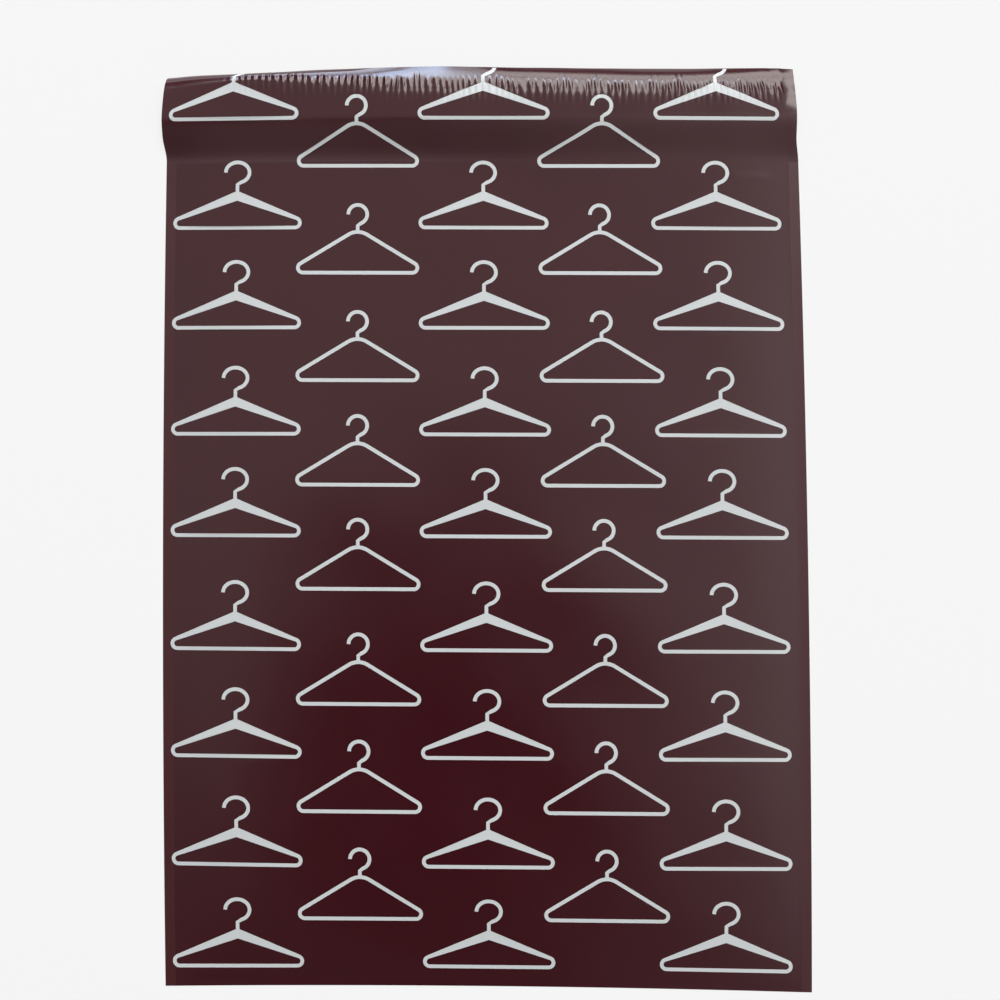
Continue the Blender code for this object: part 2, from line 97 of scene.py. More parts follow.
# The print: clothes hangers in five columns, every other column half a row lower
COLUMN_PITCH = 0.0479
MIDDLE_COLUMN = -0.0013
ROW_PITCH = 0.0419
FIRST_ROW = 0.0071
HALF_DROP = 0.0189
PRINT_MARGIN = 0.0003
COLUMN_ERRORS = (-0.9, -0.4, 2.0, 0.4, -1.0)
DEEP_ROW_ERRORS = (0.0, -2.3, -2.1, -2.1, 0.5, -1.3, -1.0, -2.9, -1.5)
EVEN_ROW_ERRORS = (0.0, -0.1, -0.3, 2.7, 1.7, 1.1, 2.0, 3.0, 2.6)
DEEP_SPAN = 0.0519
DEEP_APEX = 0.0154
DEEP_SHOULDER = 0.0039
DEEP_END_RADIUS = 0.00265
DEEP_APEX_RADIUS = 0.0005
DEEP_NOTCH_RADIUS = 0.0002
DEEP_HOOK = (0.0048, 0.0041)
DEEP_HOOK_HEIGHT = 0.0228
EVEN_SPAN = 0.0491
EVEN_APEX = 0.0178
EVEN_END_RADIUS = 0.0027
EVEN_APEX_RADIUS = 0.0078
EVEN_HOOK = (0.0038, 0.0038)
EVEN_HOOK_HEIGHT = 0.0241
HOOK_START = math.radians(180)
HOOK_END = math.radians(-70)
LINE = 0.00145

# The small folds that the adhesive draws into the flap, and where they are strong
PUCKER_SEED = 5
PUCKER_STRENGTHS = (-2.2, 0.8, 1.3, 1.1, 1.0, 1.0, 1.0, 0.7)
PUCKER_DRIFTS = (0.0030, 0.0018, 0.0010, 0.0002, 0.0, 0.0, 0.0, 0.0)
PUCKER_PITCHES = (0.0020, 0.0034)
PUCKER_HEIGHTS = (0.00009, 0.00025)
PUCKER_FEET = (0.3440, 0.3475)
PUCKER_PEAKS = (0.3527, 0.3556)
PUCKER_HEADS = (0.3580, 0.3610)
PUCKER_LEAN = 0.06
PUCKER_MIDDLE = 0.3520
PUCKER_ENDS = (-0.1185, 0.1205)
PUCKER_GROWTH = 1.5

# The corner at the right, drawn in by the last of the adhesive. Pairs are across and along.
CORNER_SIDE = 0.1238
CORNER_SWING = 0.0098
CORNER_FROM = 0.3440
CORNER_LENGTH = 0.0130
CORNER_DEPTH = 0.00012
CORNER_STEP = 0.004
MARGIN_START = (0.1205, 0.3430)
MARGIN_STEPS = (0.005, 0.008)
MARGIN_DEPTH = 0.0005

# The film's soft waves: how many, their shortest and longest, their height and their seed
POUCH_WAVES = (7, (0.050, 0.130), 0.00016, 3)
FLAP_WAVES = (7, (0.014, 0.045), 0.00006, 5)
POUCH_WAVES_RUN = 0.030
BLEND_BEFORE_MOUTH = 0.012
BLEND_RUN = 0.020

# A short level crease near the right side, below the mouth. Pairs are across and along.
CREASE_MIDDLE = (0.1075, 0.3192)
CREASE_REACH = (0.0115, 0.0013)
CREASE_FULLNESS = 1.6
CREASE_HEIGHT = 0.00012

# How finely the surfaces are laid out
POUCH_CELL = 0.0026
FLAP_CELL = 0.0007
FLAP_ROW = 0.0008
STRIP_CELL = 0.0010
BEND_SAMPLES = 64
TURN_SAMPLES = 513
ARC_STEPS = 12
HOOK_STEPS = 28
NORMAL_STEP = 0.00005
HALVINGS = 40
SLOPE_PASSES = 20

# What counts as the same place: in metres, and in the triangulation's millimetres
NEAR = 1e-7
JOINED = 1e-5
# How far a count of cells may be past a whole number
ROUND_OFF = 1e-6

# The film's materials, in the order of their slots
PLAIN, INKED, INNER, WELDED_AND_SHEEN = range(4)

FREE_EDGE = POUCH_LENGTH + FLAP_LENGTH
POCKET_HALF = WIDTH / 2 - SEAM_WIDTH
STRIP_FAR = FREE_EDGE - STRIP_INSET
STRIP_NEAR = STRIP_FAR - STRIP_WIDTH

# The photograph's camera, fitted to the bag's outline. Its Y is measured from the fold.
CAMERA_PLACE = (0.0135, 0.17244, 0.50053)
CAMERA_TURN = (0.03552, 0.0146, -0.00795)
CAMERA_LENS = 45.743
SENSOR = 36.0
CAMERA_REACH = (0.01, 50.0)

# The finishes: a name, two colours to cloud between, the roughness and the grain's height
FACE = ("maroon polyethylene film", ("#381016", "#3C1118"), (0.12, 0.17), 0.000006)
INK = ("white printing ink", ("#C7CBCA", "#CDD0CF"), (0.30, 0.38), 0.000006)
LINING = ("grey film lining", ("#3A383A", "#424042"), (0.38, 0.46), 0.000012)
# The side welds really are rougher, with a coarser grain. Their colours are lighter than the
# face's, which paints a sheen along the seams.
WELD_AND_SHEEN = ("welded maroon film with painted sheen", ("#3C1216", "#42151A"), (0.32, 0.40), 0.000030)
ADHESIVE = ("clear hot-melt adhesive", ("#C9BC93", "#D3C8A4"), (0.12, 0.22), 0.00004)
LINER = ("milky release liner", ("#C4CACC", "#D2D6D8"), (0.20, 0.30), 0.000010)
FILM_IOR = 1.51
CLOUD_SIZE = 0.034
CLOUD_DETAIL = 3.0
CLOUD_CONTRAST = 0.55
CLOUD_RANGE = (0.3, 0.7)
STREAK_SIZE = 0.0026
STREAK_STRETCH = (0.06, 1.0, 1.0)
PEBBLE_SIZE = 0.0007
GRAIN_DETAIL = 2.0

# The gloss is softer along the flap's foot: spans of Y, and how far at their two ends
SOFTENING = 0.36
SOFT_FROM = ((0.1435, 0.1475), (0.0, 1.0))
SOFT_TO = ((0.157, 0.163), (1.0, 0.0))

# The pale table, and the share of its own colour that the camera sees without shading
TABLE_SIZE = 8.0
TABLE_DROP = 0.00005
TABLE_COLOUR = "#F2F2F2"
TABLE_ROUGHNESS = 0.9
TABLE_GRAIN = 0.0015
TABLE_GRAIN_HEIGHT = 0.00001
BACKDROP = "#F6F6F6"
BACKDROP_SHARE = 0.85

# The room's light. North and east are how far a direction runs while it climbs by one.
# Each light is a span of such a run, and its strength at the span's two ends.
LEAST_CLIMB = 0.05
NORTH_LIGHT = ((-0.45, 0.10), (0.12, 0.66))
EAST_LIGHT = ((0.0, 0.45), (0.0, 0.55))
FAR_WALL = ((0.9, 1.2), (1.0, 0.22))
LEVEL_LIGHT = ((3.0, 6.0), (0.0, 1.6))
DIM_MIDDLE = (-0.07, -0.20)
DIM_RADII = (0.17, 0.27)
DIM_FADE = ((0.1, 1.5), (0.05, 1.0))

# The lamps of the far window: a name, place, size, power and colour. All face the flap.
FLAP_MIDDLE = (0.0, 0.165, 0.005)
LAMPS = (
    ("far window", (0.44, 2.13, 2.27), (2.32, 0.95), 40.9, "#FFFAF6"),
    ("far window, lower right", (0.80, 2.65, 1.68), (1.60, 0.63), 18.7, "#FFFAF6"),
    ("far window, lower left", (-0.36, 2.72, 1.57), (0.62, 0.90), 8.8, "#E8EEFF"),
    ("far window, sill", (-0.40, 3.11, 0.58), (0.62, 1.10), 15.0, "#DCE8FF"),
    ("bright pane", (-0.27, 2.545, 1.83), (0.34, 1.00), 13.5, "#BCD8FF"),
)

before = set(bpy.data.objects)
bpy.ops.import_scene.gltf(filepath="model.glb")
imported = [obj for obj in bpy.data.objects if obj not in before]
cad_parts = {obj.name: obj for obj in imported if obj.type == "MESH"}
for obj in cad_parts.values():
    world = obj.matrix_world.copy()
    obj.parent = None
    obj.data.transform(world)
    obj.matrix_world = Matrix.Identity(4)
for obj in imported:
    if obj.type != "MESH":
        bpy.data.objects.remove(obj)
packed_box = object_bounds()

# The model stands with the middle of its footprint at 0. Its lowest corner in Y is the
# right end of the bottom fold.
FOLD_AT = packed_box[0].y + OUT_OF_SQUARE / 2


# ---------------------------------------------------------------- the film's curves


def smooth(value):
    """0 below 0, 1 above 1 and an S-curve between."""
    held = np.clip(value, 0.0, 1.0)
    return held * held * (3.0 - 2.0 * held)


def along_width(values, across):
    """A soft curve through one value for each station, read at a place across the bag."""
    stations = np.array(STATIONS)
    values = np.array(values)
    place = np.clip(2.0 * across / WIDTH, stations[0], stations[-1])
    slopes = np.gradient(values, stations)
    index = np.clip(np.searchsorted(stations, place) - 1, 0, len(stations) - 2)
    span = stations[index + 1] - stations[index]
    share = (place - stations[index]) / span
    bump = share * share * (3.0 - 2.0 * share)
    leaving = share * (1.0 - share) ** 2 * span * slopes[index]
    arriving = share * share * (share - 1.0) * span * slopes[index + 1]
    return values[index] * (1.0 - bump) + values[index + 1] * bump + leaving + arriving


def pocket_side(across):
    """1 in the middle of the pocket, and down to 0 at its side welds."""
    return 1.0 - np.clip(np.abs(across) / POCKET_HALF, 0.0, 1.0) ** FULLNESS


def pocket_gap(across, along):
    """How far the printed panel stands off the lower one inside the pocket."""
    from_fold = np.clip((along - FOLD_BAND) / LOFT_RUN, 0.0, 1.0)
    body = LOFT * (1.0 - (1.0 - from_fold) ** 2)
    to_mouth = smooth((along - POUCH_LENGTH + MOUTH_RUN) / MOUTH_RUN)
    return pocket_side(across) * (body + (MOUTH_GAP - body) * to_mouth)


def turn_for(climb, length, weights):
    """The greatest angle of a film that climbs this far over this length of itself."""
    low = np.zeros_like(climb)
    high = np.full_like(climb, STEEPEST)
    for _ in range(HALVINGS):
        middle = (low + high) / 2.0
        short = length * np.sin(middle * weights).mean(axis=0) < climb
        low = np.where(short, middle, low)
        high = np.where(short, high, middle)
    return (low + high) / 2.0


def climbing(share):
    """How the rise is shared out: it sets in, holds and dies away."""
    return 1.0 - np.abs(2.0 * share - 1.0) ** 3


def curling(past, start, power):
    """How far the curl has come at a distance past the mouth: 0 to its start, 1 at the edge."""
    return np.clip((past - start) / (FLAP_LENGTH - start), 0.0, 1.0) ** power


def flap_turns():
    """The flap's greatest angles up and down, and its curl, at places across the bag."""
    across = np.linspace(-WIDTH / 2, WIDTH / 2, TURN_SAMPLES)
    samples = (np.arange(BEND_SAMPLES)[:, None] + 0.5) / BEND_SAMPLES
    base = 2.0 * FILM + pocket_gap(across, POUCH_LENGTH)
    crest = along_width(CREST_HEIGHTS, across)
    edge = along_width(EDGE_HEIGHTS, across)
    start = along_width(CURL_STARTS, across)
    power = along_width(CURL_POWERS, across)
    turn_up = turn_for(crest - base, RISE_LENGTH, climbing(samples))
    turn_down = turn_for(crest - edge, FLAP_LENGTH, curling(FLAP_LENGTH * samples, start, power))
    return across, turn_up, turn_down, start, power


TURNS = flap_turns()


def flap_angle(run, turn_up, turn_down, start, power):
    """The film's slope at a distance past the mouth: up, level over the crest, then down."""
    rising = np.clip(run / RISE_LENGTH, 0.0, 1.0)
    return turn_up * climbing(rising) - turn_down * curling(run, start, power)


def flap_bend(across, run):
    """The flap's reach and rise past the mouth, and its slope. The film keeps its length."""
    samples = (np.arange(BEND_SAMPLES)[:, None] + 0.5) / BEND_SAMPLES
    turns = [np.interp(across, TURNS[0], values) for values in TURNS[1:]]
    slopes = flap_angle(run * samples, *turns)
    reach = run * np.cos(slopes).mean(axis=0)
    rise = run * np.sin(slopes).mean(axis=0)
    return reach, rise, flap_angle(run, *turns)


def plan(across, along):
    """Where a place on the web lies on the table, seen from above, if it stays flat."""
    from_middle = np.clip(2.0 * along / POUCH_LENGTH - 1.0, -1.0, 1.0)
    x = across * (1.0 - 2.0 * SIDE_PULL / WIDTH * from_middle**2)
    past = np.maximum(along - POUCH_LENGTH, 0.0)
    x = x - along_width(LEFT_DRIFTS, across) * smooth(past / DRIFT_RUN)
    curled = smooth((past - TAPER_START) / (FLAP_LENGTH - TAPER_START))
    x = x - 2.0 * FLAP_TAPER / WIDTH * across * curled
    near_fold = np.clip(1.0 - along / BOTTOM_PULL_RUN, 0.0, 1.0) ** 2
    pulled = BOTTOM_PULL * (1.0 - (2.0 * across / WIDTH) ** 2) * near_fold
    near_corner = np.clip(-2.0 * across / WIDTH, 0.0, 1.0) ** CORNER_SHARPNESS
    drawn_in = CORNER_PULL * near_corner * smooth(past / FLAP_LENGTH)
    y = FOLD_AT + along + pulled - drawn_in - OUT_OF_SQUARE * across / WIDTH
    return x + drawn_in, y


# -------------------------------------------------------------- the film's fine relief


def draw_puckers():
    """The small folds side by side: the start, width, height, foot, peak, head, lean of each."""
    random = np.random.default_rng(PUCKER_SEED)
    folds = []
    across = PUCKER_ENDS[0]
    while across < PUCKER_ENDS[1]:
        pitch = random.uniform(*PUCKER_PITCHES)
        middle = np.array([across + pitch / 2])
        strength = max(float(along_width(PUCKER_STRENGTHS, middle)[0]), 0.0)
        height = strength * random.uniform(*PUCKER_HEIGHTS)
        foot = random.uniform(*PUCKER_FEET)
        peak = random.uniform(*PUCKER_PEAKS)
        head = random.uniform(*PUCKER_HEADS)
        folds.append((across, pitch, height, foot, peak, head, random.normal(0.0, PUCKER_LEAN)))
        across += pitch
    return np.array(folds).T


PUCKERS = draw_puckers()


def pucker_relief(across, along):
    """The height of the small folds across the adhesive: they widen from foot to peak."""
    starts, pitches, heights, feet, peaks, heads, leans = PUCKERS
    middles = starts + pitches / 2
    along = along - along_width(PUCKER_DRIFTS, across)
    across = across - np.interp(across, middles, leans) * (along - PUCKER_MIDDLE)
    fold = np.clip(np.searchsorted(starts, across, side="right") - 1, 0, len(starts) - 1)
    share = np.clip((across - starts[fold]) / pitches[fold], 0.0, 1.0)
    height = np.interp(across, middles, heights)
    foot = np.interp(across, middles, feet)
    peak = np.interp(across, middles, peaks)
    head = np.interp(across, middles, heads)
    growing = np.clip((along - foot) / (peak - foot), 0.0, 1.0) ** PUCKER_GROWTH
    fading = 1.0 - smooth((along - peak) / (head - peak))
    return -height * np.cos(2.0 * math.pi * share) * growing * fading


def corner_relief(across, along):
    """The right corner drops along a curved bend, and its margin lies lower."""
    past = np.clip((along - CORNER_FROM) / CORNER_LENGTH, 0.0, 1.0)
    bend = CORNER_SIDE - CORNER_SWING * past**4
    drop = CORNER_DEPTH * smooth((across - bend) / CORNER_STEP)
    beyond = smooth((across - MARGIN_START[0]) / MARGIN_STEPS[0])
    beyond = beyond * smooth((along - MARGIN_START[1]) / MARGIN_STEPS[1])
    return -drop - MARGIN_DEPTH * beyond


def waves(across, along, count, lengths, height, seed):
    """Soft undulation: plane waves of these lengths, each at its own heading."""
    random = np.random.default_rng(seed)
    total = np.zeros_like(across)
    for _ in range(count):
        length = random.uniform(*lengths)
        heading = random.uniform(0.0, math.pi)
        phase = random.uniform(0.0, 2.0 * math.pi)
        run = across * math.cos(heading) + along * math.sin(heading)
        total += np.sin(2.0 * math.pi * run / length + phase)
    return height * total / math.sqrt(count)


def crease_relief(across, along):
    """The short crease: full in the middle of its length, and rounded over its width."""
    middle = np.clip(1.0 - np.abs(across - CREASE_MIDDLE[0]) / CREASE_REACH[0], 0.0, 1.0)
    ridge = np.exp(-(((along - CREASE_MIDDLE[1]) / CREASE_REACH[1]) ** 2))
    return CREASE_HEIGHT * smooth(middle * CREASE_FULLNESS) * ridge


def relief(across, along):
    """Everything that stands off the film's plain curve."""
    inside = pocket_side(across) * smooth(along / POUCH_WAVES_RUN)
    beyond = smooth((along - POUCH_LENGTH + BLEND_BEFORE_MOUTH) / BLEND_RUN)
    pouch = inside * waves(across, along, *POUCH_WAVES)
    flap = waves(across, along, *FLAP_WAVES)
    small = pucker_relief(across, along) + crease_relief(across, along)
    small += corner_relief(across, along)
    return pouch * (1.0 - beyond) + flap * beyond + small


def printed_panel(across, along, depth=0.0):
    """Points at a depth under the printed face, for places on the web."""
    run = np.maximum(along - POUCH_LENGTH, 0.0)
    reach, rise, slope = flap_bend(across, run)
    x, y = plan(across, along)
    z = 2.0 * FILM + pocket_gap(across, np.minimum(along, POUCH_LENGTH)) + rise
    proud = relief(across, along) - depth
    y = y - run + reach - proud * np.sin(slope)
    return np.column_stack([x, y, z + proud * np.cos(slope)])


def facing(across, along):
    """The printed face's direction at places on the web."""
    step = NORMAL_STEP
    sideways = printed_panel(across + step, along) - printed_panel(across - step, along)
    onward = printed_panel(across, along + step) - printed_panel(across, along - step)
    normal = np.cross(sideways, onward)
    return normal / np.linalg.norm(normal, axis=1)[:, None]


# ------------------------------------------------------------------------- the print


def rounded(corners, radii):
    """A closed outline with an arc at each corner. Corners run anticlockwise."""
    outline = []
    for i, corner in enumerate(corners):
        corner = np.array(corner)
        back = np.array(corners[i - 1]) - corner
        ahead = np.array(corners[(i + 1) % len(corners)]) - corner
        back = back / np.linalg.norm(back)
        ahead = ahead / np.linalg.norm(ahead)
        half = math.acos(np.clip(back @ ahead, -1.0, 1.0)) / 2.0
        bisector = (back + ahead) / np.linalg.norm(back + ahead)
        centre = corner + bisector * radii[i] / math.sin(half)
        swing = math.pi - 2.0 * half
        first = math.atan2(-bisector[1], -bisector[0]) - swing / 2.0
        for step in range(ARC_STEPS + 1):
            angle = first + swing * step / ARC_STEPS
            outline.append(centre + radii[i] * np.array([math.cos(angle), math.sin(angle)]))
    return outline


def stroke(path, width):
    """The outline of a line of this width drawn along an open path."""
    path = np.array(path)
    ahead = np.gradient(path, axis=0)
    ahead = ahead / np.linalg.norm(ahead, axis=1)[:, None]
    aside = np.column_stack([-ahead[:, 1], ahead[:, 0]]) * width / 2.0
    return list(path - aside) + list((path + aside)[::-1])


def hook(radii, height, foot):
    """A hanger's hook: most of a turn round a centre, then straight down to the foot."""
    turns = np.linspace(HOOK_START, HOOK_END, HOOK_STEPS + 1)
    path = [(radii[0] * math.cos(a), height + radii[1] * math.sin(a)) for a in turns]
    path.append((0.0, height - radii[1] - LINE / 2))
    path.append((0.0, foot))
    return stroke(path, LINE)


def triangle(half_span, base, apex, end_radius, apex_radius):
    """A low triangle with round ends. The half span is measured to the round ends."""
    slope = math.atan2(apex - base, half_span)
    for _ in range(SLOPE_PASSES):
        corner = half_span + end_radius / math.tan(slope / 2.0) - end_radius
        top = apex + apex_radius * (1.0 / math.cos(slope) - 1.0)
        slope = math.atan2(top - base, corner)
    corners = [(-corner, base), (corner, base), (0.0, top)]
    return rounded(corners, (end_radius, end_radius, apex_radius))


def deep_hanger():
    """Ink and bare outlines of the hanger with deep shoulders. Its bar stands at 0."""
    half = DEEP_SPAN / 2
    outer = triangle(half, 0.0, DEEP_APEX, DEEP_END_RADIUS, DEEP_APEX_RADIUS)
    inner = DEEP_APEX - DEEP_SHOULDER
    notch = (DEEP_END_RADIUS - LINE, DEEP_NOTCH_RADIUS)
    bare = triangle(half - LINE, LINE, inner, *notch)
    return [outer, hook(DEEP_HOOK, DEEP_HOOK_HEIGHT, inner + DEEP_SHOULDER / 2)], [bare]


def even_hanger():
    """Ink and bare outlines of the hanger drawn with an even line."""
    half = EVEN_SPAN / 2
    outer = triangle(half, 0.0, EVEN_APEX, EVEN_END_RADIUS, EVEN_APEX_RADIUS)
    inner = EVEN_APEX - LINE
    radii = (EVEN_END_RADIUS - LINE, EVEN_APEX_RADIUS - LINE)
    bare = triangle(half - LINE, LINE, inner, *radii)
    return [outer, hook(EVEN_HOOK, EVEN_HOOK_HEIGHT, inner + LINE / 2)], [bare]


def cut(outline, axis, sign, limit):
    """The part of an outline on the near side of one straight line."""
    kept = []
    for i, point in enumerate(outline):
        before = outline[i - 1]
        inside = sign * point[axis] <= sign * limit
        if inside != (sign * before[axis] <= sign * limit):
            share = (limit - before[axis]) / (point[axis] - before[axis])
            kept.append(before + share * (point - before))
        if inside:
            kept.append(point)
    return kept


def on_web(outlines, middle, bar):
    """Hanger outlines moved to their place on the web and cut at the print's margin."""
    side = WIDTH / 2 - PRINT_MARGIN
    limits = ((0, 1, side), (0, -1, -side))
    limits += ((1, 1, FREE_EDGE - PRINT_MARGIN), (1, -1, PRINT_MARGIN))
    placed = []
    for outline in outlines:
        moved = [point + np.array([middle, bar]) for point in outline]
        for axis, sign, limit in limits:
            moved = cut(moved, axis, sign, limit) if moved else moved
        if len(moved) > 2:
            placed.append(moved)
    return placed


def hanger_print():
    """Every ink outline and every bare outline of the print, on the web."""
    ink, bare = [], []
    deep = (deep_hanger(), FIRST_ROW, DEEP_ROW_ERRORS)
    even = (even_hanger(), FIRST_ROW + HALF_DROP, EVEN_ROW_ERRORS)
    side = int((WIDTH - DEEP_SPAN) / 2 / COLUMN_PITCH)
    rows = int(FREE_EDGE / ROW_PITCH) + 1
    for column in range(-side, side + 1):
        error = COLUMN_ERRORS[(column + side) % len(COLUMN_ERRORS)]
        middle = MIDDLE_COLUMN + column * COLUMN_PITCH + error * MM
        outlines, first, row_errors = even if column % 2 else deep
        for row in range(rows):
            bar = first + row * ROW_PITCH + row_errors[row % len(row_errors)] * MM
            ink += on_web(outlines[0], middle, bar)
            bare += on_web(outlines[1], middle, bar)
    return ink, bare


# ---------------------------------------------------------------------- the surfaces


def spaced(first, last, cell):
    """Even steps from first to last, none longer than the cell."""
    return np.linspace(first, last, max(1, math.ceil((last - first) / cell - ROUND_OFF)) + 1)


def triangulate(points, edges, faces):
    """A constrained triangulation, worked in millimetres. Gives its places, its faces,
    the given faces that each lies in, and the given point at each place, if any."""
    flat = [(x / MM, y / MM) for x, y in points]
    found = delaunay_2d_cdt(flat, edges, faces, 0, JOINED)
    given = [min(origins) if origins else None for origins in found[3]]
    places = np.array([tuple(point) for point in found[0]]) * MM
    for i, origin in enumerate(given):
        if origin is not None:
            places[i] = points[origin]
    return places, found[2], found[5], given


def web_layout():
    """The whole web's places and triangles, with the print cut in, and which are ink."""
    half = WIDTH / 2
    seams = [-half, -POCKET_HALF, POCKET_HALF, half]
    pouch = np.union1d(seams, spaced(-POCKET_HALF, POCKET_HALF, POUCH_CELL))
    flap = np.union1d(seams, spaced(-POCKET_HALF, POCKET_HALF, FLAP_CELL))
    lines = [(0.0, pouch)]
    lines += [(along, pouch) for along in spaced(FOLD_BAND, POUCH_LENGTH, POUCH_CELL)[:-1]]
    lines += [(along, flap) for along in spaced(POUCH_LENGTH, FREE_EDGE, FLAP_ROW)]
    points, edges = [], []
    for along, places in lines:
        first = len(points)
        points += [(across, along) for across in places]
        if along in (0.0, FOLD_BAND, POUCH_LENGTH, FREE_EDGE):
            edges += [(i, i + 1) for i in range(first, len(points) - 1)]
    for side in seams:
        last = FREE_EDGE if abs(side) > POCKET_HALF else POUCH_LENGTH
        chain = [i for i, p in enumerate(points) if p[0] == side and p[1] <= last]
        edges += list(zip(chain[:-1], chain[1:]))
        if abs(side) < half:
            inward = 1 if side < 0 else -1
            edges.append((chain[1], chain[2] + inward))
    ink, bare = hanger_print()
    rings = []
    for outline in ink + bare:
        rings.append(list(range(len(points), len(points) + len(outline))))
        points += [tuple(point) for point in outline]
    places, faces, sources, _ = triangulate(points, edges, rings)
    inked = [
        any(i < len(ink) for i in origin) and not any(i >= len(ink) for i in origin)
        for origin in sources
    ]
    return places, np.array(faces), np.array(inked)


def boundary(faces):
    """The edges that belong to one triangle only, in the triangles' own direction."""
    seen = set()
    for a, b, c in faces.tolist():
        seen.update(((a, b), (b, c), (c, a)))
    return [edge for edge in sorted(seen) if (edge[1], edge[0]) not in seen]


def flat_sheet(places, faces):
    """The outline of some triangles, filled again with as few triangles as it needs."""
    edges = boundary(faces)
    used = sorted({i for edge in edges for i in edge})
    new = {old: i for i, old in enumerate(used)}
    ring = [used[0]]
    onward = dict(edges)
    while onward[ring[-1]] != ring[0]:
        ring.append(onward[ring[-1]])
    points = [tuple(places[i]) for i in used]
    _, filled, sources, given = triangulate(points, [], [[new[i] for i in ring]])
    kept = [face for face, origin in zip(filled, sources) if origin]
    return np.array([[used[given[i]] for i in face] for face in kept])


def make_piece(name, points, faces, slots, materials, normals):
    """A mesh object. Each corner takes its own normal, or the face's where it is 0."""
    used = sorted({i for face in faces for i in face})
    new = {old: i for i, old in enumerate(used)}
    mesh = bpy.data.meshes.new(name)
    mesh.from_pydata(points[used].tolist(), [], [[new[i] for i in face] for face in faces])
    for material in materials:
        mesh.materials.append(material)
    mesh.polygons.foreach_set("material_index", slots)
    mesh.shade_smooth()
    mesh.normals_split_custom_set(normals)
    piece = bpy.data.objects.new(name, mesh)
    bpy.context.scene.collection.objects.link(piece)
    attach(piece, "root")
    return piece


def build_film(materials):
    """The web: printed face, lining, lower panel and every cut edge, as one piece."""
    places, faces, inked = web_layout()
    across, along = places[:, 0], places[:, 1]
    count = len(places)
    x, y = plan(across, along)
    weld_plane = np.column_stack([x, y, np.full(count, FILM)])
    table_plane = np.column_stack([x, y, np.zeros(count)])
    points = np.vstack(
        [printed_panel(across, along), printed_panel(across, along, FILM), weld_plane, table_plane]
    )
    in_pouch = along < POUCH_LENGTH + NEAR
    welded = in_pouch & ((np.abs(across) > POCKET_HALF - NEAR) | (along < FOLD_BAND + NEAR))
    numbers = np.arange(count)
    top = numbers
    under = np.where(welded, 2 * count + numbers, count + numbers)
    floor = 2 * count + numbers
    table = 3 * count + numbers

    middles = places[faces].mean(axis=1)
    flap = middles[:, 1] > POUCH_LENGTH
    pocket = ~flap & (np.abs(middles[:, 0]) < POCKET_HALF) & (middles[:, 1] > FOLD_BAND)
    # The side welds' faces take the welded finish, whose lighter colour is a painted sheen
    weld_and_sheen = ~flap & (np.abs(middles[:, 0]) > POCKET_HALF)
    made, slots, normals = [], [], []
    up = facing(across, along)

    def lay(group, numbering, slot_of, normal_of):
        for face, slot in zip(group.tolist(), slot_of):
            made.append([int(numbering[i]) for i in face])
            slots.append(int(slot))
            normals.extend(normal_of(i) for i in face)

    lay(faces, top, np.where(inked, INKED, np.where(weld_and_sheen, WELDED_AND_SHEEN, PLAIN)), lambda i: up[i])
    inner = faces[pocket | flap][:, ::-1]
    lay(inner, under, [INNER] * len(inner), lambda i: -up[i])
    sheet = flat_sheet(places, faces[pocket])
    lay(sheet, floor, [INNER] * len(sheet), lambda i: (0.0, 0.0, 1.0))
    sheet = flat_sheet(places, faces[~flap])[:, ::-1]
    lay(sheet, table, [PLAIN] * len(sheet), lambda i: (0.0, 0.0, -1.0))

    def wall(ring):
        made.append([int(i) for i in ring])
        slots.append(PLAIN)
        normals.extend([(0.0, 0.0, 0.0)] * len(ring))

    for a, b in boundary(faces):
        low = in_pouch[a] and in_pouch[b]
        ring = [top[b], top[a]]
        for i in (a, b):
            ends = [under[i], table[i]] if low and along[i] > POUCH_LENGTH - NEAR else None
            ends = ends or [table[i] if low else under[i]]
            ring += ends if i == a else ends[::-1]
        wall(ring)
    for a, b in boundary(faces[~flap]):
        if min(along[a], along[b]) > POUCH_LENGTH - NEAR:
            inside = max(abs(across[a]), abs(across[b])) < POCKET_HALF + NEAR
            step = floor if inside else under
            wall([step[b], step[a], table[a], table[b]])
    return make_piece("printed_mailer_film", points, made, slots, materials, normals)


def build_band(name, half_length, near, far, depth, thickness, material):
    """A thin strip that follows the flap's hidden face at a depth under the print."""
    columns = spaced(-half_length, half_length, FLAP_CELL)
    rows = spaced(near, far, STRIP_CELL)
    across, along = (grid.ravel() for grid in np.meshgrid(columns, rows))
    upper = printed_panel(across, along, depth)
    lower = printed_panel(across, along, depth + thickness)
    up = facing(across, along)
    across_count, down_count, layer = len(columns), len(rows), len(across)
    faces, normals = [], []
    for row in range(down_count - 1):
        for column in range(across_count - 1):
            first = row * across_count + column
            quad = [first, first + 1, first + across_count + 1, first + across_count]
            faces.append(quad)
            normals.extend(up[i] for i in quad)
            faces.append([i + layer for i in reversed(quad)])
            normals.extend(-up[i] for i in reversed(quad))
    rim = list(range(across_count))
    rim += [row * across_count + across_count - 1 for row in range(1, down_count)]
    rim += [layer - 1 - column for column in range(1, across_count)]
    rim += [row * across_count for row in range(down_count - 2, 0, -1)]
    for start, end in zip(rim, rim[1:] + rim[:1]):
        faces.append([end, start, start + layer, end + layer])
        normals.extend([(0.0, 0.0, 0.0)] * 4)
    points = np.vstack([upper, lower])
    return make_piece(name, points, faces, [0] * len(faces), [material], normals)


# --------------------------------------------------------------------- the materials


def linear(code, alpha=1.0):
    """An sRGB hex colour as Blender's linear red, green, blue and alpha."""
    shares = [int(code[i : i + 2], 16) / 255 for i in (1, 3, 5)]
    shares = [s / 12.92 if s <= 0.04045 else ((s + 0.055) / 1.055) ** 2.4 for s in shares]
    return (*shares, alpha)


